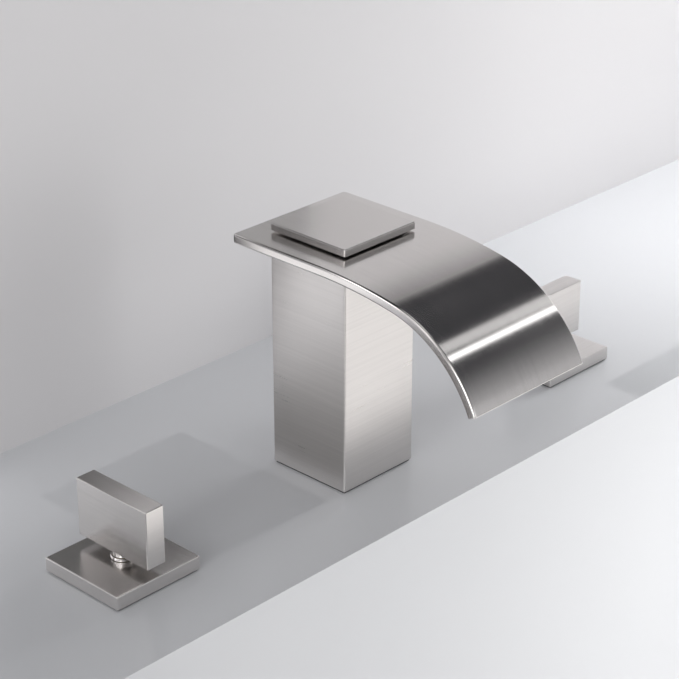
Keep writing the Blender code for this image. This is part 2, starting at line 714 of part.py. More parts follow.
def ported_disc(name, low, high):
    """Ceramic disc with two round water ports on its X axis."""
    disc = rod(name, DISC_RADIUS, low, high, PLAIN_SIDES)
    for side in (-1, 1):
        cut_round_hole(disc, name + "_port", PORT_RADIUS, low - OVERRUN, high + OVERRUN, PLAIN_SIDES,
                       (side * PORT_OFFSET, 0.0))
    return disc


def build_fixed_disc(prefix, seat):
    """Lower ceramic disc, which stands still."""
    disc = ported_disc(prefix + "_fixed_disc", FIXED_LOW, FIXED_HIGH)
    disc.parent = seat
    return settle(disc, ALUMINA)


def build_moving_disc(prefix, axis):
    """Upper ceramic disc, turned a quarter by the spindle's tang in its slot."""
    disc = ported_disc(prefix + "_moving_disc", MOVING_LOW, MOVING_HIGH)
    slot_depth = TANG_DEPTH + FIT_GAP
    slot = block(prefix + "_disc_slot",
                 (TANG_WIDTH + 2 * FIT_GAP, TANG_LENGTH + 2 * FIT_GAP, slot_depth + OVERRUN),
                 MOVING_HIGH - slot_depth, CUTTERS)
    cut(disc, slot)
    disc.parent = axis
    return settle(disc, ALUMINA)


# Lever: spindle, stem sleeve, square block and its set screw
SPINDLE_SOCKET_DEPTH = 0.0150
STEM_RADIUS = 0.0046
LEVER_EASE = 0.0005
SCREW_RADIUS = 0.0018
SCREW_SINK = 0.0003
SCREW_KEY = 0.0016
SCREW_KEY_DEPTH = 0.0010
SPINDLE_TOP = LEVER_UNDERSIDE + SPINDLE_SOCKET_DEPTH - FIT_GAP


def build_spindle(prefix, axis):
    """Spindle with a thrust collar, a stalk in the water chamber, and a foot with a driving tang."""
    foot_low = MOVING_HIGH + FIT_GAP
    thrust_top = CHAMBER_TOP - FIT_GAP
    tip = SPINDLE_RADIUS / 4
    profile = [
        (0.0, SPINDLE_TOP),
        (SPINDLE_RADIUS - tip, SPINDLE_TOP),
        (SPINDLE_RADIUS, SPINDLE_TOP - tip),
        (SPINDLE_RADIUS, thrust_top),
        (DISC_RADIUS, thrust_top),
        (DISC_RADIUS, thrust_top - THRUST_HEIGHT),
        (STALK_RADIUS, thrust_top - THRUST_HEIGHT),
        (STALK_RADIUS, foot_low + FOOT_HEIGHT),
        (DISC_RADIUS, foot_low + FOOT_HEIGHT),
        (DISC_RADIUS, foot_low),
        (0.0, foot_low),
    ]
    spindle = turned(prefix + "_spindle", profile, PLAIN_SIDES)
    tang_low = MOVING_HIGH - TANG_DEPTH
    tang = block(prefix + "_tang", (TANG_WIDTH, TANG_LENGTH, foot_low + FOOT_HEIGHT / 2 - tang_low),
                 tang_low, CUTTERS)
    combine(spindle, tang, "UNION")
    for side in (-1, 1):
        cut_round_hole(spindle, prefix + "_foot_port", PORT_RADIUS, foot_low - OVERRUN,
                       foot_low + FOOT_HEIGHT + OVERRUN / 4, PLAIN_SIDES,
                       (side * (PORT_OFFSET + PORT_RADIUS), 0.0))
    spindle.parent = axis
    return settle(spindle, BRASS)


def build_stem_sleeve(prefix, axis):
    """Round sleeve between the ring and the block, the stem that shows under the lever."""
    low = ESCUTCHEON_HEIGHT + 2 * FIT_GAP + RING_HEIGHT
    sleeve = ring(prefix + "_stem_sleeve", SPINDLE_HOLE_RADIUS, STEM_RADIUS, low,
                  LEVER_UNDERSIDE - FIT_GAP, FINE_SIDES)
    sleeve.parent = axis
    return settle(sleeve, BRUSHED_NICKEL)


def build_lever_block(prefix, axis):
    """Rectangular block with eased edges, a blind socket below and a set screw hole in one side."""
    lever = block(prefix + "_lever_block", (LEVER_WIDTH, LEVER_LENGTH, LEVER_HEIGHT), LEVER_UNDERSIDE)
    ease(lever, LEVER_EASE)
    cut_round_hole(lever, prefix + "_socket", SPINDLE_HOLE_RADIUS, LEVER_UNDERSIDE - OVERRUN,
                   LEVER_UNDERSIDE + SPINDLE_SOCKET_DEPTH, FINE_SIDES)
    hole = rod(prefix + "_screw_hole", SCREW_RADIUS + FIT_GAP, SPINDLE_RADIUS,
               LEVER_WIDTH / 2 + OVERRUN, PLAIN_SIDES, CUTTERS)
    hole.rotation_euler.y = math.pi / 2
    hole.location.z = LEVER_UNDERSIDE + SPINDLE_SOCKET_DEPTH / 2
    cut(lever, hole)
    lever.parent = axis
    return finish(lever, BRUSHED_NICKEL)


def build_set_screw(prefix, axis):
    """Grub screw with a hexagon socket that locks the block to the spindle."""
    low = SPINDLE_HOLE_RADIUS
    high = LEVER_WIDTH / 2 - SCREW_SINK
    screw = rod(prefix + "_set_screw", SCREW_RADIUS, low, high, PLAIN_SIDES)
    key = hexagon(prefix + "_screw_key", SCREW_KEY, high - SCREW_KEY_DEPTH, high + OVERRUN)
    cut(screw, key)
    screw.parent = axis
    screw.rotation_euler.y = math.pi / 2
    screw.location.z = LEVER_UNDERSIDE + SPINDLE_SOCKET_DEPTH / 2
    return settle(screw, ZINC_STEEL)


def make_axis(name, x, turn):
    """Empty on a valve's upright centre line."""
    empty = bpy.data.objects.new(name, None)
    empty.location = (x, 0.0, 0.0)
    empty.rotation_euler.z = turn
    FAUCET.objects.link(empty)
    return empty


def build_spout():
    """Column, riser, spout, cap and their fixings."""
    gasket_side = COLUMN_SIDE - 2 * GASKET_INSET
    square_gasket("base_gasket", gasket_side, RISER_SEAT_RADIUS)
    build_spout_column()
    build_base_guide()
    build_riser_pipe()
    build_inlet_seal()
    build_waterfall_spout()
    build_cap_plate()
    for prefix, x in (("left", -STUD_X), ("right", STUD_X)):
        build_cap_stud(prefix, x)
        build_stud_washer(prefix, x)
        build_stud_nut(prefix, x)
    build_deck_fixings("spout", RISER_RADIUS)


def build_valve(prefix, x, lever_turn, outlet_turn):
    """One valve with its escutcheon, cartridge, lever and fixings."""
    seat = make_axis(prefix + "_seat", x, 0.0)
    axis = make_axis(prefix + "_lever_axis", x, lever_turn)
    gasket = square_gasket(prefix + "_gasket", ESCUTCHEON_SIDE - 2 * GASKET_INSET, VALVE_HOLE_RADIUS)
    gasket.parent = seat
    build_flange_nut(prefix, seat)
    build_escutcheon(prefix, seat)
    build_escutcheon_ring(prefix, seat)
    build_valve_body(prefix, seat, outlet_turn)
    build_inlet_tube(prefix, seat)
    build_cartridge_body(prefix, seat)
    build_gland_nut(prefix, seat)
    build_disc_seal(prefix, seat)
    build_fixed_disc(prefix, seat)
    build_deck_fixings(prefix, VALVE_RADIUS, seat)
    build_moving_disc(prefix, axis)
    build_spindle(prefix, axis)
    build_stem_sleeve(prefix, axis)
    build_lever_block(prefix, axis)
    build_set_screw(prefix, axis)


build_spout()
build_valve("hot", HOT_VALVE_X, 0.0, 0.0)
build_valve("cold", COLD_VALVE_X, math.pi / 2, math.pi)
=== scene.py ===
"""Roman tub faucet in brushed nickel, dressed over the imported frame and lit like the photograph."""

import math

import bmesh
import bpy
from mathutils import Matrix, Vector


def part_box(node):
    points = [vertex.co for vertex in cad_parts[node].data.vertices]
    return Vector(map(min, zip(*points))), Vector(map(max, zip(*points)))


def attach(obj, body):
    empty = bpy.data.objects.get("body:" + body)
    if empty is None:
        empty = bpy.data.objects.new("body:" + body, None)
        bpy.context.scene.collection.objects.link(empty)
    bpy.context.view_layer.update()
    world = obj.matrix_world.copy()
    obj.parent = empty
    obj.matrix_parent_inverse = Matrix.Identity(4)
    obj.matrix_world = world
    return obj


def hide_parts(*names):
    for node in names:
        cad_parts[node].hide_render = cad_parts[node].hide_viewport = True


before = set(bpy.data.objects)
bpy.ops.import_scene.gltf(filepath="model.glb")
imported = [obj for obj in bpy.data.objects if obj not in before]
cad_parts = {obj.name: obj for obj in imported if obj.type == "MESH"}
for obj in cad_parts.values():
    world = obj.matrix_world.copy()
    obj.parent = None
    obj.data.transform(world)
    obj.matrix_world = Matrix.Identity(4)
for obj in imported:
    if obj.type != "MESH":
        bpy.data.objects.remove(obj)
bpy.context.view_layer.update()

# The spout column is a square tube of brushed nickel, brushed level all round, with crisp eased edges.
# It is drawn with a closed top that carries the spout and a round water way, and its open foot stands
# on a thin gasket on the deck.
NICKEL_COLOUR = (0.725, 0.702, 0.688)
SMOOTH_ANGLE = math.radians(40)
COLUMN_WALL = 0.0025
COLUMN_TOP_WALL = 0.0060
COLUMN_EASE = 0.0009
EASE_SEGMENTS = 4
WATER_WAY_RADIUS = 0.0070
HOLE_CUTS = 11
PATCH_MARGIN = 0.125
ALIGNED = 0.999
NOISE_LOW = 0.3
NOISE_HIGH = 0.7
STREAK_FINE = 750.0
STREAK_LONG = 9.0
STROKE_STRETCH = 0.78
STROKE_RELIEF = 0.02
STROKE_DEPTH = 0.00001
HANDLING_SCALE = 26.0
ROUGHNESS_SWING = 0.12
UPRIGHT_SLOPE = 0.7


def link(tree, source, target):
    """Join two shader sockets."""
    tree.links.new(source, target)


def add_node(tree, kind, values=None, **settings):
    """Add a shader node with its settings and socket values."""
    node = tree.nodes.new("ShaderNode" + kind)
    for name, value in settings.items():
        setattr(node, name, value)
    for name, value in (values or {}).items():
        node.inputs[name].default_value = value
    return node


def spread(tree, source, low, high, bottom, top):
    """Map a value from one range to another."""
    values = {"From Min": low, "From Max": high, "To Min": bottom, "To Max": top}
    node = add_node(tree, "MapRange", values)
    link(tree, source, node.inputs["Value"])
    return node.outputs["Result"]


def vary(tree, noise, low, high):
    """Spread a noise's usual span over a range of values."""
    return spread(tree, noise, NOISE_LOW, NOISE_HIGH, low, high)


def tint_base(tree, shader, colour, amount):
    """Give a shader one colour made lighter and darker by an amount near 1."""
    tint = add_node(tree, "VectorMath", operation="SCALE")
    tint.inputs[0].default_value = colour
    link(tree, amount, tint.inputs["Scale"])
    link(tree, tint.outputs["Vector"], shader.inputs["Base Color"])


def drawn_noise(tree, place, scale, detail=3.0):
    """Noise drawn out along the axes of small scale."""
    stretch = add_node(tree, "Mapping", {"Scale": scale})
    noise = add_node(tree, "TexNoise", {"Scale": 1.0, "Detail": detail, "Roughness": 0.65})
    link(tree, place, stretch.inputs["Vector"])
    link(tree, stretch.outputs["Vector"], noise.inputs["Vector"])
    return noise.outputs["Fac"]


def even_noise(tree, place, scale, detail=3.0):
    """Noise of the same scale along all axes."""
    return drawn_noise(tree, place, (scale, scale, scale), detail)


def raise_grain(tree, shader, height, strength, depth):
    """Bump a shader's surface by a height."""
    relief = add_node(tree, "Bump", {"Strength": strength, "Distance": depth})
    link(tree, height, relief.inputs["Height"])
    link(tree, relief.outputs["Normal"], shader.inputs["Normal"])


def new_material(name, metallic, roughness):
    """Start a node material and return it with its tree, shader and place on the object."""
    material = bpy.data.materials.new(name)
    material.use_nodes = True
    tree = material.node_tree
    shader = tree.nodes["Principled BSDF"]
    shader.inputs["Metallic"].default_value = metallic
    shader.inputs["Roughness"].default_value = roughness
    place = add_node(tree, "TexCoord").outputs["Object"]
    return material, tree, shader, place


def cross(tree, first, second):
    """Cross product of a socket with another socket or a fixed vector."""
    node = add_node(tree, "VectorMath", operation="CROSS_PRODUCT")
    for place, value in enumerate((first, second)):
        if isinstance(value, tuple):
            node.inputs[place].default_value = value
        else:
            link(tree, value, node.inputs[place])
    return node.outputs["Vector"]


def level_strokes(tree, place, normal, across_top):
    """Streaks and stroke direction: level on upright faces, on tops square to across_top."""
    split = add_node(tree, "SeparateXYZ")
    link(tree, normal, split.inputs["Vector"])
    upright = add_node(tree, "Math", {1: 0.0, 2: UPRIGHT_SLOPE}, operation="COMPARE")
    link(tree, split.outputs["Z"], upright.inputs[0])
    top_scale = [STREAK_FINE if share else STREAK_LONG for share in across_top]
    streaks = add_node(tree, "Mix")
    link(tree, upright.outputs["Value"], streaks.inputs["Factor"])
    link(tree, drawn_noise(tree, place, (*top_scale, STREAK_LONG)), streaks.inputs["A"])
    link(tree, drawn_noise(tree, place, (STREAK_LONG, STREAK_LONG, STREAK_FINE)), streaks.inputs["B"])
    level = add_node(tree, "Math", {0: 1.0}, operation="SUBTRACT")
    link(tree, upright.outputs["Value"], level.inputs[1])
    across = add_node(tree, "CombineXYZ")
    for axis, share in zip("XY", across_top):
        if share:
            link(tree, level.outputs["Value"], across.inputs[axis])
    link(tree, upright.outputs["Value"], across.inputs["Z"])
    return streaks.outputs["Result"], across.outputs["Vector"]


def bent_strokes(tree, place, normal, bend_centre):
    """Streaks and stroke direction that follow a plate bent about an X axis at its front."""
    reach = add_node(tree, "VectorMath", {1: bend_centre}, operation="SUBTRACT")
    link(tree, place, reach.inputs[0])
    split = add_node(tree, "SeparateXYZ")
    link(tree, reach.outputs["Vector"], split.inputs["Vector"])
    forward = add_node(tree, "Math", {1: 0.0}, operation="MINIMUM")
    link(tree, split.outputs["Y"], forward.inputs[0])
    radial = add_node(tree, "CombineXYZ")
    link(tree, forward.outputs["Value"], radial.inputs["Y"])
    link(tree, split.outputs["Z"], radial.inputs["Z"])
    along = cross(tree, (1.0, 0.0, 0.0), radial.outputs["Vector"])
    return drawn_noise(tree, place, (STREAK_FINE, STREAK_LONG, STREAK_LONG)), cross(tree, normal, along)


def brushed_nickel(name, roughness, across_top=(1.0, 0.0), bend_centre=None):
    """Brushed nickel whose strokes lie level and square to across_top, or follow a bent plate."""
    material, tree, shader, place = new_material(name, 1.0, roughness)
    shader.inputs["Anisotropic"].default_value = STROKE_STRETCH
    normal = add_node(tree, "NewGeometry").outputs["Normal"]
    if bend_centre:
        streaks, across = bent_strokes(tree, place, normal, bend_centre)
    else:
        streaks, across = level_strokes(tree, place, normal, across_top)
    link(tree, across, shader.inputs["Tangent"])
    both = add_node(tree, "Math", operation="ADD")
    link(tree, streaks, both.inputs[0])
    link(tree, even_noise(tree, place, HANDLING_SCALE, 2.0), both.inputs[1])
    rough = spread(tree, both.outputs["Value"], 2 * NOISE_LOW, 2 * NOISE_HIGH,
                   roughness * (1 - ROUGHNESS_SWING), roughness * (1 + ROUGHNESS_SWING))
    link(tree, rough, shader.inputs["Roughness"])
    tint_base(tree, shader, NICKEL_COLOUR, vary(tree, streaks, 0.955, 1.03))
    raise_grain(tree, shader, streaks, STROKE_RELIEF, STROKE_DEPTH)
    return material


def eased_box(low, high, ease):
    """Box between two corners with all its edges eased."""
    shape = bmesh.new()
    size = Vector(high) - Vector(low)
    bmesh.ops.create_cube(shape, size=1.0, matrix=Matrix.Diagonal((*size, 1.0)))
    bmesh.ops.translate(shape, verts=shape.verts, vec=(Vector(low) + Vector(high)) / 2)
    bmesh.ops.bevel(shape, geom=shape.edges[:], offset=ease, segments=EASE_SEGMENTS, profile=0.5,
                    affect="EDGES", material=-1)
    return shape


def facing(shape, direction):
    """The largest face that looks in a direction."""
    direction = Vector(direction)
    found = [face for face in shape.faces if face.normal.dot(direction) > ALIGNED]
    return max(found, key=lambda face: face.calc_area())


def push_end(shape, face, step):
    """Extrude a face by a vector and return the new end."""
    end = bmesh.ops.extrude_face_region(shape, geom=[face, *face.edges, *face.verts])["geom"]
    bmesh.ops.translate(shape, verts=[item for item in end if isinstance(item, bmesh.types.BMVert)],
                        vec=step)
    return next(item for item in end if isinstance(item, bmesh.types.BMFace))


def sink(shape, face, inset, depth):
    """Inset a face and sink the inner face by a depth."""
    bmesh.ops.inset_region(shape, faces=[face], thickness=inset, use_even_offset=True)
    return push_end(shape, face, face.normal * -depth)


def round_patch(shape, face, centre, radius):
    """Inset a flat face, bridge the inset to a circle round a centre and return the disc in it."""
    normal = face.normal.copy()
    on_face = Vector(centre) + normal * (face.calc_center_median() - Vector(centre)).dot(normal)
    inset = math.sqrt(face.calc_area()) * PATCH_MARGIN
    bmesh.ops.inset_region(shape, faces=[face], thickness=inset, use_even_offset=True)
    frame_edges = face.edges[:]
    bmesh.ops.delete(shape, geom=[face], context="FACES_ONLY")
    cuts = bmesh.ops.subdivide_edges(shape, edges=frame_edges, cuts=HOLE_CUTS)["geom_split"]
    frame_edges = [item for item in cuts if isinstance(item, bmesh.types.BMEdge) and item.is_boundary]
    place = Matrix.Translation(on_face) @ normal.to_track_quat("Z", "Y").to_matrix().to_4x4()
    rim = bmesh.ops.create_circle(shape, cap_ends=True, segments=4 * (HOLE_CUTS + 1), radius=radius,
                                  matrix=place)["verts"]
    disc = rim[0].link_faces[0]
    bmesh.ops.bridge_loops(shape, edges=frame_edges + disc.edges[:])
    disc.normal_update()
    if disc.normal.dot(normal) < 0:
        disc.normal_flip()
    return disc


def through_hole(shape, centre, radius, first, second):
    """Open a round hole between two flat faces."""
    discs = [round_patch(shape, face, centre, radius) for face in (first, second)]
    rims = [edge for disc in discs for edge in disc.edges]
    bmesh.ops.delete(shape, geom=discs, context="FACES_ONLY")
    bmesh.ops.bridge_loops(shape, edges=rims)


def new_piece(name, shape, material, body, slot, *nodes):
    """Finish a shape as a piece that rides on a body and stands for CAD nodes."""
    bmesh.ops.recalc_face_normals(shape, faces=shape.faces)
    mesh = bpy.data.meshes.new(name)
    shape.to_mesh(mesh)
    shape.free()
    mesh.shade_smooth()
    mesh.set_sharp_from_angle(angle=SMOOTH_ANGLE)
    mesh.materials.append(material)
    piece = bpy.data.objects.new(name, mesh)
    bpy.context.scene.collection.objects.link(piece)
    even = piece.modifiers.new("Even shading", "WEIGHTED_NORMAL")
    even.keep_sharp = True
    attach(piece, body)
    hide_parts(*nodes)
    return piece


column_nickel = brushed_nickel("column_nickel", 0.30)
column_low, column_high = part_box("spout_column")
column = eased_box(column_low, column_high, COLUMN_EASE)
hollow_depth = column_high[2] - column_low[2] - COLUMN_TOP_WALL
ceiling = sink(column, facing(column, (0, 0, -1)), COLUMN_WALL - COLUMN_EASE, hollow_depth)
through_hole(column, (0.0, 0.0, 0.0), WATER_WAY_RADIUS, facing(column, (0, 0, 1)), ceiling)
new_piece("column_tube", column, column_nickel, "faucet_body", "brushed_nickel", "spout_column")


# Thin black rubber gaskets seal the column and both valves to the deck. With them come the rubber
# washers under the deck and the seals inside, all moulded in the same matt rubber.
RUBBER_COLOUR = (0.022, 0.022, 0.023)
GRAIN_DEPTH = 0.00003


def dress(node_names, material):
    """Give CAD nodes a material."""
    for name in node_names:
        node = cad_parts[name]
        node.data.materials.clear()
        node.data.materials.append(material)


def moulded_rubber(name):
    """Matt black rubber with a faint bloom."""
    material, tree, shader, place = new_material(name, 0.0, 0.8)
    bloom = even_noise(tree, place, 90.0, 4.0)
    tint_base(tree, shader, RUBBER_COLOUR, vary(tree, bloom, 0.7, 1.6))
    link(tree, vary(tree, bloom, 0.68, 0.88), shader.inputs["Roughness"])
    raise_grain(tree, shader, even_noise(tree, place, 2500.0), 0.15, GRAIN_DEPTH)
    return material


rubber = moulded_rubber("black_rubber")
dress(["base_gasket", "hot_gasket", "cold_gasket", "inlet_seal", "hot_disc_seal", "cold_disc_seal",
       "spout_rubber_washer", "hot_rubber_washer", "cold_rubber_washer"], rubber)


# The riser is a brass pipe that screws into the column's top and hangs through the deck. Its lower
# end has a fine thread for the lock nut and the hose. A nylon plate centres it in the column's foot.
BRASS_COLOUR = (0.66, 0.50, 0.25)
NYLON_COLOUR = (0.74, 0.73, 0.69)
TURN_STEPS = 64
THREAD_STEPS = 36
THREAD_DEPTH_SHARE = 0.55
THREAD_ROOT_SINK = 0.00005
CREST_START = 0.45
CREST_END = 0.55
RISER_PITCH = 0.0018
RISER_THREAD_TOP = -0.0180
THREAD_LEAD_IN = 0.0008


def machined_brass(name):
    """Turned brass with fine rings left by the tool and slow stains."""
    material, tree, shader, place = new_material(name, 1.0, 0.3)
    shader.inputs["Anisotropic"].default_value = 0.5
    rings = drawn_noise(tree, place, (40.0, 40.0, 2600.0), 2.0)
    stain = even_noise(tree, place, 60.0, 4.0)
    tint_base(tree, shader, BRASS_COLOUR, vary(tree, stain, 0.86, 1.06))
    link(tree, vary(tree, stain, 0.34, 0.24), shader.inputs["Roughness"])
    raise_grain(tree, shader, rings, 0.2, GRAIN_DEPTH)
    return material


def natural_nylon(name):
    """Off-white nylon with a soft grain."""
    material, tree, shader, place = new_material(name, 0.0, 0.5)
    shader.inputs["Subsurface Weight"].default_value = 0.15
    shader.inputs["Subsurface Radius"].default_value = (0.002, 0.002, 0.0015)
    cloud = even_noise(tree, place, 70.0)
    tint_base(tree, shader, NYLON_COLOUR, vary(tree, cloud, 0.94, 1.03))
    link(tree, vary(tree, cloud, 0.45, 0.6), shader.inputs["Roughness"])
    raise_grain(tree, shader, even_noise(tree, place, 1800.0), 0.1, GRAIN_DEPTH)
    return material


def turn_profile(shape, profile, steps=TURN_STEPS):
    """Spin a closed profile of (radius, height) points about Z and return its new vertices."""
    corners = [shape.verts.new((radius, 0.0, height)) for radius, height in profile]
    sides = [shape.edges.new(pair) for pair in zip(corners, corners[1:] + corners[:1])]
    before = set(shape.verts)
    bmesh.ops.spin(shape, geom=[*corners, *sides], cent=(0, 0, 0), axis=(0, 0, 1),
                   angle=2 * math.pi, steps=steps, use_merge=True)
    return corners + [vert for vert in shape.verts if vert not in before]


def threaded_end(radius, pitch, high, low):
    """Outline of a pipe's threaded lower end, from its top down to its foot."""
    depth = pitch * THREAD_DEPTH_SHARE
    return [(radius, high), (radius - depth, high - depth), (radius - depth, low)]


def thread_ridge(shape, crest, low, high, pitch):
    """Wind a ridge with a narrow crest up Z between two heights, its foot just inside the pipe."""
    root = crest - pitch * THREAD_DEPTH_SHARE - THREAD_ROOT_SINK
    section = [(root, low), (crest, low + pitch * CREST_START), (crest, low + pitch * CREST_END),
               (root, low + pitch)]
    corners = [shape.verts.new((radius, 0.0, height)) for radius, height in section]
    face = shape.faces.new(corners)
    before = set(shape.verts) - set(corners)
    turns = (high - low) / pitch - 1
    steps = round(turns * THREAD_STEPS)
    bmesh.ops.spin(shape, geom=[face], cent=(0, 0, 0), axis=(0, 0, 1), angle=turns * 2 * math.pi,
                   dvec=(0, 0, turns * pitch / steps), steps=steps)
    return [vert for vert in shape.verts if vert not in before]


brass = machined_brass("turned_brass")
riser_low, riser_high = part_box("riser_pipe")
riser_radius = riser_high[0]
riser = bmesh.new()
turn_profile(riser, [(riser_radius, riser_high[2]),
                     *threaded_end(riser_radius, RISER_PITCH, RISER_THREAD_TOP, riser_low[2]),
                     (WATER_WAY_RADIUS, riser_low[2]), (WATER_WAY_RADIUS, riser_high[2])])
thread_ridge(riser, riser_radius, riser_low[2] + THREAD_LEAD_IN, RISER_THREAD_TOP, RISER_PITCH)
new_piece("riser_tube", riser, brass, "faucet_body", "brass", "riser_pipe")
dress(["base_guide"], natural_nylon("white_nylon"))


# The waterfall spout is a thin hollow chute of brushed nickel sheet. It runs flat over the column,
# bends down in two tangent arcs and ends in a slot as wide as the sheet of water it pours.
SPOUT_SKIN = 0.0010
SPOUT_SIDE_WALL = 0.0042
SPOUT_EDGE_ROUND = 0.0012
LIP_EASE = 0.0004
REAR_CORNER_RADIUS = 0.0022
STRAIGHT_END = -0.0200
EASE_RADIUS = 0.2700
FALL_RADIUS = 0.0712
EASE_ANGLE = math.radians(10.2)
END_ANGLE = math.radians(65.8)
EASE_STEPS = 12
FALL_STEPS = 64
EDGE_SEGMENTS = 6
FOLD_ANGLE = math.radians(50)
FIT_GAP = 0.0003
MERGE_TOLERANCE = 0.0001


def bend_end(shape, face, centre, angle, steps):
    """Extrude an end face round an X axis in steps and return the new end."""
    turn = Matrix.Rotation(angle / steps, 3, "X")
    for _ in range(steps):
        face = push_end(shape, face, (0.0, 0.0, 0.0))
        bmesh.ops.rotate(shape, verts=face.verts, cent=centre, matrix=turn)
    return face


spout_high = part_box("waterfall_spout")[1]
half_width = spout_high[0]
spout_top = spout_high[2]
spout_rear = spout_high[1]
spout_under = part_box("spout_column")[1][2] + FIT_GAP
chute = bmesh.new()
rear_corners = [(-half_width, spout_top), (half_width, spout_top), (half_width, spout_under),
                (-half_width, spout_under)]
section = chute.faces.new([chute.verts.new((x, spout_rear, z)) for x, z in rear_corners])
ease_centre = Vector((0.0, STRAIGHT_END, spout_top - EASE_RADIUS))
inward = Vector((0.0, math.sin(EASE_ANGLE), -math.cos(EASE_ANGLE)))
fall_centre = ease_centre + inward * (FALL_RADIUS - EASE_RADIUS)
spout_nickel = brushed_nickel("spout_nickel", 0.16, bend_centre=tuple(fall_centre))
end_face = push_end(chute, section, (0.0, STRAIGHT_END - spout_rear, 0.0))
end_face = bend_end(chute, end_face, ease_centre, EASE_ANGLE, EASE_STEPS)
end_face = bend_end(chute, end_face, fall_centre, END_ANGLE - EASE_ANGLE, FALL_STEPS)
bmesh.ops.recalc_face_normals(chute, faces=chute.faces)
upright_rear = [edge for edge in chute.edges
                if all(vert.co.y > spout_rear - MERGE_TOLERANCE for vert in edge.verts)
                and abs(edge.verts[0].co.x - edge.verts[1].co.x) < MERGE_TOLERANCE]
bmesh.ops.bevel(chute, geom=upright_rear, offset=REAR_CORNER_RADIUS, segments=EDGE_SEGMENTS,
                profile=0.5, affect="EDGES", material=-1)
lip = set(end_face.edges)
long_edges = [edge for edge in chute.edges
              if edge.calc_face_angle(0.0) > FOLD_ANGLE and edge not in lip]
bmesh.ops.bevel(chute, geom=long_edges, offset=SPOUT_EDGE_ROUND, segments=EDGE_SEGMENTS, profile=0.5,
                affect="EDGES", material=-1)
heading = Vector((0.0, -math.cos(END_ANGLE), -math.sin(END_ANGLE)))
bmesh.ops.bevel(chute, geom=facing(chute, heading).edges[:], offset=LIP_EASE, segments=EASE_SEGMENTS,
                profile=0.5, affect="EDGES", material=-1)
end_face = facing(chute, heading)
bmesh.ops.inset_region(chute, faces=[end_face], thickness=SPOUT_SKIN - LIP_EASE, use_even_offset=True)
wall_step = SPOUT_SIDE_WALL - SPOUT_SKIN
bmesh.ops.scale(chute, verts=end_face.verts,
                vec=(1.0 - wall_step / (half_width - SPOUT_SKIN), 1.0, 1.0))
end_face = bend_end(chute, end_face, fall_centre, EASE_ANGLE - END_ANGLE, FALL_STEPS // 2)
end_face = bend_end(chute, end_face, ease_centre, -EASE_ANGLE, EASE_STEPS // 2)
push_end(chute, end_face, (0.0, spout_rear - SPOUT_SIDE_WALL - STRAIGHT_END, 0.0))
new_piece("spout_chute", chute, spout_nickel, "faucet_body", "brushed_nickel", "waterfall_spout")


# The cap plate is a square of brushed nickel as wide as the column. It stands on a smaller pad, so a
# thin shadow line runs under it, and two studs clamp it through the spout to the column's top.
CAP_EASE = 0.0006
CAP_PAD_INSET = 0.0060
CAP_SHADOW_LINE = 0.0005
ZINC_COLOUR = (0.60, 0.61, 0.63)
STUD_HOLE_RADIUS = 0.0023
STUD_HOLE_DEPTH = 0.0030
MOUTH_STEP = 0.02


def zinc_plate(name):
    """Zinc plated steel with a cloudy, slightly blue face."""
    material, tree, shader, place = new_material(name, 1.0, 0.36)
    cloud = even_noise(tree, place, 160.0, 4.0)
    tint_base(tree, shader, ZINC_COLOUR, vary(tree, cloud, 0.84, 1.08))
    link(tree, vary(tree, cloud, 0.28, 0.44), shader.inputs["Roughness"])
    raise_grain(tree, shader, cloud, 0.1, GRAIN_DEPTH)
    return material


def blind_hole(shape, face, centre, radius, depth):
    """Sink a round hole with a narrow step at its mouth into a flat face."""
    sink(shape, round_patch(shape, face, centre, radius), radius * MOUTH_STEP, depth)


cap_low, cap_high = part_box("cap_plate")
cap = eased_box((cap_low[0], cap_low[1], cap_low[2] + CAP_SHADOW_LINE), cap_high, CAP_EASE)
pad = sink(cap, facing(cap, (0, 0, -1)), CAP_PAD_INSET - CAP_EASE, -CAP_SHADOW_LINE)
halves = bmesh.ops.bisect_plane(cap, geom=[pad, *pad.edges, *pad.verts], plane_co=(0, 0, 0),
                                plane_no=(1, 0, 0))["geom"]
stud_low, stud_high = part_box("right_cap_stud")
stud_x = (stud_low[0] + stud_high[0]) / 2
for half in [item for item in halves if isinstance(item, bmesh.types.BMFace)]:
    side = math.copysign(1.0, half.calc_center_median().x)
    blind_hole(cap, half, (side * stud_x, 0.0, cap_low[2]), STUD_HOLE_RADIUS, STUD_HOLE_DEPTH)
new_piece("cap_cover", cap, brushed_nickel("cap_nickel", 0.22), "faucet_body", "brushed_nickel",
          "cap_plate")
zinc = zinc_plate("zinc_plate")
dress(["left_cap_stud", "right_cap_stud", "left_stud_washer", "right_stud_washer",
       "spout_steel_washer", "hot_steel_washer", "cold_steel_washer", "hot_set_screw",
       "cold_set_screw"], zinc)


# Brass nuts pull everything to the deck: one under the spout and one under each valve, a flange nut
# inside each escutcheon, and two small ones on the cap's studs. Each is turned as a ring and its
# waist is then drawn out to six flats, which leaves the corners chamfered as on turned hexagon bar.
NUT_SIDES = 6
SIDE_CUTS = 8
CHAMFER_SLOPE = math.tan(math.radians(30))
VALVE_RADIUS = 0.0140
NUT_EASE = 0.0004
CHAMFER_START = 0.0001


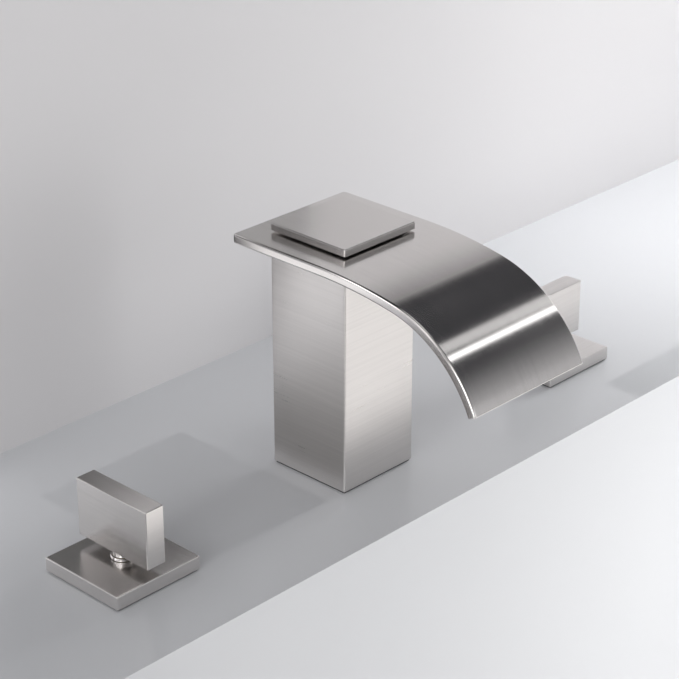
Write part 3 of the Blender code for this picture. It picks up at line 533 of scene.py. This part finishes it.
def hexagon_nut(flat, bore, low, high, centre):
    """Nut between two heights: a turned ring whose waist is pushed out to six flats."""
    shape = bmesh.new()
    verts = turn_profile(shape, [(bore + NUT_EASE, low), (flat, low), (flat, low + CHAMFER_START),
                                 (flat, high - CHAMFER_START), (flat, high), (bore + NUT_EASE, high),
                                 (bore, high - NUT_EASE), (bore, low + NUT_EASE)],
                         NUT_SIDES * SIDE_CUTS)
    for vert in verts:
        if vert.co.xy.length < flat - MERGE_TOLERANCE or not low < vert.co.z < high:
            continue
        turn = math.atan2(vert.co.y, vert.co.x) % (2 * math.pi / NUT_SIDES)
        reach = flat / math.cos(turn - math.pi / NUT_SIDES)
        vert.co.xy *= reach / flat
        vert.co.z += (reach - flat) * CHAMFER_SLOPE * (1 if vert.co.z < (low + high) / 2 else -1)
    bmesh.ops.translate(shape, verts=shape.verts, vec=(centre[0], centre[1], 0.0))
    return shape


def make_nut(name, node, bore):
    """Nut in the place of a CAD nut."""
    low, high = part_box(node)
    centre = ((low[0] + high[0]) / 2, (low[1] + high[1]) / 2)
    flat = min(high[0] - low[0], high[1] - low[1]) / 2
    nut = hexagon_nut(flat, bore, low[2], high[2], centre)
    new_piece(name, nut, brass, "faucet_body", "brass", node)


stud_radius = (stud_high[0] - stud_low[0]) / 2
make_nut("spout_deck_nut", "spout_lock_nut", riser_radius + FIT_GAP)
for side in ("left", "right"):
    make_nut(side + "_hex_nut", side + "_stud_nut", stud_radius + FIT_GAP)
for prefix in ("hot", "cold"):
    make_nut(prefix + "_deck_nut", prefix + "_lock_nut", VALVE_RADIUS + FIT_GAP)
    make_nut(prefix + "_top_nut", prefix + "_flange_nut", VALVE_RADIUS + FIT_GAP)


# Each escutcheon is a square cover of nickel sheet folded down at its four sides, with a round hole
# for the cartridge's neck. A thin ring nut on the neck holds it down.
COVER_EASE = 0.0006
COVER_WALL = 0.0020
COVER_ROOF = 0.0022
NECK_HOLE_RADIUS = 0.0047


def make_cover(prefix, material):
    """Hollow square cover with its neck hole."""
    low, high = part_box(prefix + "_escutcheon")
    middle = (Vector(low) + Vector(high)) / 2
    cover = eased_box(low, high, COVER_EASE)
    roof = sink(cover, facing(cover, (0, 0, -1)), COVER_WALL - COVER_EASE,
                high[2] - low[2] - COVER_ROOF)
    through_hole(cover, middle, NECK_HOLE_RADIUS, facing(cover, (0, 0, 1)), roof)
    new_piece(prefix + "_cover", cover, material, "faucet_body", "brushed_nickel",
              prefix + "_escutcheon")


hot_nickel = brushed_nickel("hot_nickel", 0.18)
cold_nickel = brushed_nickel("cold_nickel", 0.31, across_top=(0.0, 1.0))
make_cover("hot", hot_nickel)
make_cover("cold", cold_nickel)


# The lever is a solid bar of brushed nickel on a short round stem. Its edges are only just eased, and
# a grub screw in one side locks it to the spindle, whose socket is in its underside.
LEVER_EASE = 0.0005
SOCKET_RADIUS = 0.0033
SOCKET_DEPTH = 0.0150
SCREW_HOLE_RADIUS = 0.0021
SCREW_HOLE_DEPTH = 0.0020
STEM_ROUND = 0.0004


def make_lever(prefix, screw_side, material):
    """Rectangular bar with its socket and screw hole, on its stem and ring."""
    low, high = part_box(prefix + "_lever_block")
    middle = (Vector(low) + Vector(high)) / 2
    bar = eased_box(low, high, LEVER_EASE)
    blind_hole(bar, facing(bar, (0, 0, -1)), (middle.x, middle.y, low[2]), SOCKET_RADIUS, SOCKET_DEPTH)
    screw_low, screw_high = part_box(prefix + "_set_screw")
    screw = (Vector(screw_low) + Vector(screw_high)) / 2
    blind_hole(bar, facing(bar, screw_side), screw, SCREW_HOLE_RADIUS, SCREW_HOLE_DEPTH)
    new_piece(prefix + "_handle", bar, material, prefix + "_lever", "brushed_nickel",
              prefix + "_lever_block")
    rings = (("_stem", "_stem_sleeve", prefix + "_lever", SOCKET_RADIUS),
             ("_neck_ring", "_escutcheon_ring", "faucet_body", NECK_HOLE_RADIUS))
    for piece, node, body, bore in rings:
        low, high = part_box(prefix + node)
        radius = (high[0] - low[0]) / 2
        shape = bmesh.new()
        turn_profile(shape, [(radius - STEM_ROUND, high[2]), (radius, high[2] - STEM_ROUND),
                             (radius, low[2]), (bore, low[2]), (bore, high[2])])
        bmesh.ops.translate(shape, verts=shape.verts, vec=(middle.x, middle.y, 0.0))
        new_piece(prefix + piece, shape, material, body, "brushed_nickel", prefix + node)


make_lever("hot", (1, 0, 0), brushed_nickel("hot_lever_nickel", 0.24))
make_lever("cold", (0, 1, 0), cold_nickel)


# Under each escutcheon hangs the valve: a brass shank, threaded for its nuts down to the threaded
# outlet nipple on one side. From below an inlet tube is screwed into its floor; the tube's rim seats
# the ceramic cartridge and its tail takes the supply.
VALVE_WALL = 0.0020
VALVE_FLOOR = 0.0050
FLOOR_HOLE_RADIUS = 0.0066
CARTRIDGE_HOLE_RADIUS = 0.0108
GLAND_SEAT_DEPTH = 0.0060
SHANK_PITCH = 0.0015
SHANK_THREAD_TOP = 0.0040
SHANK_THREAD_LOW = -0.0455
NIPPLE_PITCH = 0.00134
OUTLET_RADIUS = 0.0083
OUTLET_BORE = 0.0052
OUTLET_HEIGHT = -0.0540
TAIL_PITCH = 0.0018
INLET_TUBE_RADIUS = 0.0063
INLET_BORE = 0.0045
SEAT_RIM = 0.0086
SEAT_RIM_HEIGHT = 0.0020
ALUMINA_COLOUR = (0.82, 0.80, 0.76)


def lapped_alumina(name):
    """Dense off-white ceramic, lapped to a sheen."""
    material, tree, shader, place = new_material(name, 0.0, 0.2)
    shader.inputs["IOR"].default_value = 1.7
    speck = even_noise(tree, place, 900.0)
    tint_base(tree, shader, ALUMINA_COLOUR, vary(tree, speck, 0.96, 1.02))
    link(tree, vary(tree, speck, 0.16, 0.26), shader.inputs["Roughness"])
    return material


def make_shank(prefix, centre_x, outlet_way):
    """Shank with its floor, its cartridge seat and its outlet nipple."""
    low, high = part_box(prefix + "_valve_body")
    floor = low[2]
    top = high[2]
    bore = VALVE_RADIUS - VALVE_WALL
    depth = SHANK_PITCH * THREAD_DEPTH_SHARE
    seat = top - GLAND_SEAT_DEPTH
    shank = bmesh.new()
    turn_profile(shank, [(VALVE_RADIUS, top),
                         *threaded_end(VALVE_RADIUS, SHANK_PITCH, SHANK_THREAD_TOP,
                                       SHANK_THREAD_LOW + depth),
                         (VALVE_RADIUS, SHANK_THREAD_LOW), (VALVE_RADIUS, floor),
                         (FLOOR_HOLE_RADIUS, floor), (FLOOR_HOLE_RADIUS, floor + VALVE_FLOOR),
                         (bore, floor + VALVE_FLOOR), (bore, seat - VALVE_WALL),
                         (CARTRIDGE_HOLE_RADIUS, seat), (CARTRIDGE_HOLE_RADIUS, top)])
    thread_ridge(shank, VALVE_RADIUS, SHANK_THREAD_LOW + depth, SHANK_THREAD_TOP, SHANK_PITCH)
    reach = high[0] - centre_x if outlet_way > 0 else centre_x - low[0]
    root = VALVE_WALL / 2 - VALVE_RADIUS
    thread_end = root - 2 * VALVE_WALL
    nipple = turn_profile(shank, [(OUTLET_RADIUS, root),
                                  *threaded_end(OUTLET_RADIUS, NIPPLE_PITCH, thread_end, -reach),
                                  (OUTLET_BORE, -reach), (OUTLET_BORE, root)])
    nipple += thread_ridge(shank, OUTLET_RADIUS, THREAD_LEAD_IN - reach, thread_end, NIPPLE_PITCH)
    bmesh.ops.rotate(shank, verts=nipple, cent=(0, 0, 0),
                     matrix=Matrix.Rotation(-outlet_way * math.pi / 2, 3, "Y"))
    bmesh.ops.translate(shank, verts=nipple, vec=(0.0, 0.0, OUTLET_HEIGHT))
    bmesh.ops.translate(shank, verts=shank.verts, vec=(centre_x, 0.0, 0.0))
    new_piece(prefix + "_shank", shank, brass, "faucet_body", "brass", prefix + "_valve_body")


def make_inlet(prefix, centre_x):
    """Inlet tube with the cartridge's seat at its top and a threaded tail."""
    low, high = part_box(prefix + "_inlet_tube")
    foot = low[2]
    seat = high[2]
    radius = high[0] - centre_x
    tail_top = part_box(prefix + "_valve_body")[0][2] - FIT_GAP
    thread_top = tail_top - VALVE_WALL
    tube = bmesh.new()
    turn_profile(tube, [(SEAT_RIM, seat), (SEAT_RIM, seat - SEAT_RIM_HEIGHT),
                        (INLET_TUBE_RADIUS, seat - 2 * SEAT_RIM_HEIGHT), (INLET_TUBE_RADIUS, tail_top),
                        (radius, tail_top), *threaded_end(radius, TAIL_PITCH, thread_top, foot),
                        (INLET_BORE, foot), (INLET_BORE, seat)])
    thread_ridge(tube, radius, foot + THREAD_LEAD_IN, thread_top, TAIL_PITCH)
    bmesh.ops.translate(tube, verts=tube.verts, vec=(centre_x, 0.0, 0.0))
    new_piece(prefix + "_inlet", tube, brass, "faucet_body", "brass", prefix + "_inlet_tube")


for prefix, outlet_way in (("hot", 1), ("cold", -1)):
    tube_low, tube_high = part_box(prefix + "_inlet_tube")
    valve_x = (tube_low[0] + tube_high[0]) / 2
    make_shank(prefix, valve_x, outlet_way)
    make_inlet(prefix, valve_x)
dress([prefix + piece for prefix in ("hot", "cold")
       for piece in ("_cartridge_body", "_gland_nut", "_spindle")], brass)
dress([prefix + piece for prefix in ("hot", "cold") for piece in ("_fixed_disc", "_moving_disc")],
      lapped_alumina("lapped_alumina"))


# The deck, the wall behind it and the tub in front are pale surfaces. They only carry the
# faucet, its shadow and its reflections, but the wall has painted shade that darkens it
# towards its top.
DECK_FRONT = -0.067
WALL_Y = 0.133
WALL_HEIGHT = 0.47
WALL_COLOUR = (0.70, 0.69, 0.70)
WALL_SHADE_START = 0.31
WALL_SHADE_SHARE = 0.06
DECK_COLOUR = (0.62, 0.63, 0.65)
TUB_COLOUR = (0.90, 0.89, 0.88)
TUB_GLOW_COLOUR = (1.0, 0.98, 0.96)
TUB_GLOW = 0.58
TUB_DROP = 0.26
STAGE_REACH = 3.0


def plain_surface(name, colour, roughness):
    """Plain painted surface, returned with its tree and shader."""
    material, tree, shader, _ = new_material(name, 0.0, roughness)
    shader.inputs["Base Color"].default_value = (*colour, 1.0)
    return material, tree, shader


def wall_surface(name):
    """Matt wall paint with painted shade that darkens it towards its top, seen from its front only."""
    material, tree, shader, place = new_material(name, 0.0, 0.5)
    shader.inputs["Specular IOR Level"].default_value = 0.0
    split = add_node(tree, "SeparateXYZ")
    link(tree, place, split.inputs["Vector"])
    # Painted shade: the wall's colour falls to a small share of itself towards its top.
    painted_shade = spread(tree, split.outputs["Z"], WALL_SHADE_START, WALL_HEIGHT, 1.0, WALL_SHADE_SHARE)
    tint_base(tree, shader, WALL_COLOUR, painted_shade)
    clear = add_node(tree, "BsdfTransparent")
    mix = add_node(tree, "MixShader")
    link(tree, add_node(tree, "NewGeometry").outputs["Backfacing"], mix.inputs["Fac"])
    link(tree, shader.outputs["BSDF"], mix.inputs[1])
    link(tree, clear.outputs["BSDF"], mix.inputs[2])
    link(tree, mix.outputs["Shader"], tree.nodes["Material Output"].inputs["Surface"])
    return material


def stage_sheet(name, corners, material):
    """Flat four-sided stage surface through its corners."""
    mesh = bpy.data.meshes.new(name)
    sheet = bmesh.new()
    sheet.faces.new([sheet.verts.new(corner) for corner in corners])
    sheet.to_mesh(mesh)
    sheet.free()
    obj = bpy.data.objects.new(name, mesh)
    bpy.context.scene.collection.objects.link(obj)
    mesh.materials.append(material)
    return obj


def wide_sheet(name, near_edge, far_edge, material):
    """Stage surface between two edges that run along X over the whole stage, each given by its (y, z)."""
    stage_sheet(name, [(-STAGE_REACH, *near_edge), (STAGE_REACH, *near_edge),
                       (STAGE_REACH, *far_edge), (-STAGE_REACH, *far_edge)], material)


deck_paint, _, _ = plain_surface("deck_paint", DECK_COLOUR, 0.22)
tub_paint, _, tub_shader = plain_surface("tub_paint", TUB_COLOUR, 0.4)
tub_shader.inputs["Emission Color"].default_value = (*TUB_GLOW_COLOUR, 1.0)
tub_shader.inputs["Emission Strength"].default_value = TUB_GLOW
wide_sheet("deck", (DECK_FRONT, 0.0), (STAGE_REACH, 0.0), deck_paint)
wide_sheet("deck_front", (DECK_FRONT, -TUB_DROP), (DECK_FRONT, 0.0), deck_paint)
wide_sheet("tub_floor", (-STAGE_REACH, -TUB_DROP), (DECK_FRONT, -TUB_DROP), tub_paint)
wide_sheet("wall", (WALL_Y, 0.0), (WALL_Y, WALL_HEIGHT), wall_surface("wall_paint"))


# Soft studio light: a pale surround that darkens overhead, soft lamps at both sides and in front, one
# at the wall's foot, and narrow washes on the deck and its front. Cards stand where the brushed faces
# mirror them, so each face gets the tone it has in the photograph. Nothing else sees the cards: they
# are painted reflections, the dim ones painted shade and the bright ones painted highlights.
PALE_HEIGHT = 0.18
PALE_COLOUR = (0.52, 0.52, 0.53)
OVERHEAD_HEIGHT = 0.52
OVERHEAD_COLOUR = (0.047, 0.047, 0.052)
CAMERA_GLOW = (-0.56, -0.56, 0.61)
GLOW_START = 0.70
GLOW_FULL = 0.96
GLOW_LEVEL = 0.45
CARD_BLACK = (0.02, 0.02, 0.02)
CARD_GLOW_COLOUR = (1.0, 0.99, 1.0)
WALL_CARD_Y = 0.127
DECK_CARD_Z = 0.001
TUB_CARD_Z = -0.25
WALL_FOOT_LAMP = (-0.345, 0.128, 0.0375)


def area_light(name, location, target, width, depth, radiance):
    """Rectangular soft light of a given brightness that looks at a target."""
    data = bpy.data.lights.new(name, "AREA")
    data.shape = "RECTANGLE"
    data.size = width
    data.size_y = depth
    data.energy = radiance * math.pi * width * depth
    lamp = bpy.data.objects.new(name, data)
    bpy.context.scene.collection.objects.link(lamp)
    lamp.location = location
    lamp.rotation_euler = (Vector(target) - lamp.location).to_track_quat("-Z", "Y").to_euler()
    return lamp


def wash_light(name, location, target, width, depth, radiance, beam=180):
    """Light with a beam of some degrees that brightens surfaces and isn't mirrored in the metal."""
    lamp = area_light(name, location, target, width, depth, radiance)
    lamp.data.spread = math.radians(beam)
    lamp.visible_glossy = False


def surround():
    """World light by height, pale near the horizon and dark overhead but for a glow at the camera."""
    world = bpy.data.worlds.new("studio_surround")
    bpy.context.scene.world = world
    world.use_nodes = True
    tree = world.node_tree
    glow = tree.nodes["Background"]
    split = add_node(tree, "SeparateXYZ")
    ramp = add_node(tree, "ValToRGB")
    heading = add_node(tree, "TexCoord").outputs["Generated"]
    link(tree, heading, split.inputs["Vector"])
    link(tree, split.outputs["Z"], ramp.inputs["Fac"])
    nearness = add_node(tree, "VectorMath", {1: CAMERA_GLOW}, operation="DOT_PRODUCT")
    link(tree, heading, nearness.inputs[0])
    both = add_node(tree, "VectorMath", operation="ADD")
    link(tree, ramp.outputs["Color"], both.inputs[0])
    link(tree, spread(tree, nearness.outputs["Value"], GLOW_START, GLOW_FULL, 0.0, GLOW_LEVEL),
         both.inputs[1])
    link(tree, both.outputs["Vector"], glow.inputs["Color"])
    stops = ((PALE_HEIGHT, PALE_COLOUR), (OVERHEAD_HEIGHT, OVERHEAD_COLOUR))
    for point, (height, colour) in zip(ramp.color_ramp.elements, stops):
        point.position = height
        point.color = (*colour, 1.0)


def painted_reflection_card(name, first, second, third, radiance):
    """Painted reflection: a card from three corners that glows to its front, is only mirrored and gives
    no light or shadow.
    """
    paint, tree, shader = plain_surface(name + "_paint", CARD_BLACK, 0.9)
    shader.inputs["Emission Color"].default_value = (*CARD_GLOW_COLOUR, 1.0)
    back = add_node(tree, "NewGeometry").outputs["Backfacing"]
    link(tree, spread(tree, back, 0.0, 1.0, radiance, 0.0), shader.inputs["Emission Strength"])
    fourth = Vector(first) + Vector(third) - Vector(second)
    sheet = stage_sheet(name, [first, second, third, fourth], paint)
    sheet.visible_camera = False
    sheet.visible_diffuse = False
    sheet.visible_shadow = False


surround()
area_light("key", (0.35, -0.10, 1.70), (0.05, 0.0, 0.0), 0.8, 0.8, 0.9)
wash_light("right_low", (0.90, 0.02, 0.30), (0.20, 0.03, 0.0), 0.3, 0.3, 14.4)
area_light("right_far", (1.10, -0.30, 0.60), (0.35, 0.10, 0.10), 0.4, 0.4, 1.26)
area_light("left_front", (-1.30, -0.60, 0.35), (-0.15, 0.13, 0.05), 0.6, 0.6, 3.9)
area_light("left_soft", (-1.25, 0.25, 0.85), (-0.04, 0.0, 0.10), 0.8, 0.8, 1.6)
area_light("front_low", (0.50, -1.70, 0.35), (0.10, 0.13, 0.10), 1.2, 0.5, 0.8)
wash_light("deck_wash", (0.36, 0.03, 0.45), (0.34, 0.03, 0.0), 0.3, 0.1, 1.5, 60)
wash_light("front_wash", (0.45, -0.55, 0.0), (0.25, -0.067, -0.07), 0.3, 0.3, 1.15, 70)
foot_target = (WALL_FOOT_LAMP[0], -1.0, WALL_FOOT_LAMP[2])
wall_foot = area_light("wall_foot", WALL_FOOT_LAMP, foot_target, 0.41, 2 * WALL_FOOT_LAMP[2], 0.66)
wall_foot.visible_camera = False
# Dim cards on the wall paint shade into the metal's reflections; the edge and rim cards paint highlights.
for name, left, right, low, high, radiance in (("right_reflected_shade", -0.13, 0.08, 0.05, 0.140, 0.11),
                                               ("left_reflected_shade", -0.42, -0.24, 0.08, 0.17, 0.05),
                                               ("middle_reflected_shade", -0.23, -0.10, 0.165, 0.215, 0.05),
                                               ("upper_reflected_shade", -0.125, 0.075, 0.24, 0.40, 0.02),
                                               ("rear_reflected_shade", 0.0, 0.105, 0.165, 0.235, 0.39),
                                               ("edge_reflected_highlight", -0.45, -0.235, 0.17, 0.32, 3.30),
                                               ("rim_reflected_highlight", -0.30, -0.21, 0.0, 0.045, 1.25)):
    painted_reflection_card(name, (left, WALL_CARD_Y, low), (right, WALL_CARD_Y, low), (right, WALL_CARD_Y, high),
                  radiance)
# Cards on the deck and tub: the dim ones paint shade into the reflections, the bright one paints a
# highlight.
for name, left, right, front, back, height, radiance in (
        ("deck_reflected_shade", -0.130, -0.034, -0.022, 0.085, DECK_CARD_Z, 0.14),
        ("deck_reflected_highlight", 0.165, 0.30, -0.066, -0.042, DECK_CARD_Z, 1.3),
        ("tub_reflected_shade", -0.60, 0.05, -1.50, -0.30, TUB_CARD_Z, 0.02)):
    painted_reflection_card(name, (left, front, height), (right, front, height), (right, back, height), radiance)


# The spout's bright band is the image of two long strip lamps in its bend, a grey one beside a white
# one. The edges of each are given as directions from the bend, in degrees.
BAND_POINT = Vector((0.0, -0.075, 0.110))
STRIP_DISTANCE = 1.6
STRIP_LENGTH = 0.9


def band_direction(azimuth, elevation):
    """Unit vector from degrees, azimuth from +X towards +Y."""
    turn = math.radians(azimuth)
    rise = math.radians(elevation)
    return Vector((math.cos(rise) * math.cos(turn), math.cos(rise) * math.sin(turn), math.sin(rise)))


def band_strip(name, first, last, radiance):
    """Strip light whose image in the bend runs from one direction to another."""
    start = BAND_POINT + band_direction(*first) * STRIP_DISTANCE
    stop = BAND_POINT + band_direction(*last) * STRIP_DISTANCE
    middle = (start + stop) / 2
    lamp = area_light(name, middle, BAND_POINT, STRIP_LENGTH, (start - stop).length, radiance)
    behind = (middle - BAND_POINT).normalized()
    short = (start - stop).normalized()
    long_way = short.cross(behind).normalized()
    lamp.rotation_euler = Matrix((long_way, short, behind)).transposed().to_euler()


band_strip("grey_strip", (-17.6, 42.4), (-24.6, 39.3), 0.72)
band_strip("white_strip", (-26.6, 38.2), (-29.6, 35.9), 2.1)


# The camera stands in front of the hot valve and above the spout, as the photograph's did. Its place,
# its turn and its lens were fitted to the faucet's edges in the photograph.
CAMERA_PLACE = (-0.70226, -0.66966, 0.52994)
CAMERA_YAW = math.radians(46.261)
CAMERA_PITCH = math.radians(25.412)
PHOTO_SIDE = 679
FOCAL_PIXELS = 2149.04
SENSOR_WIDTH = 36.0
VIEW_DEPTH = 20.0

camera_data = bpy.data.cameras.new("camera")
camera_data.sensor_width = SENSOR_WIDTH
camera_data.lens = SENSOR_WIDTH * FOCAL_PIXELS / PHOTO_SIDE
camera_data.clip_end = VIEW_DEPTH
camera = bpy.data.objects.new("camera", camera_data)
bpy.context.scene.collection.objects.link(camera)
camera.location = CAMERA_PLACE
camera.rotation_euler = (math.pi / 2 - CAMERA_PITCH, 0.0, -CAMERA_YAW)
bpy.context.scene.camera = camera
bpy.context.scene.view_settings.view_transform = "Standard"
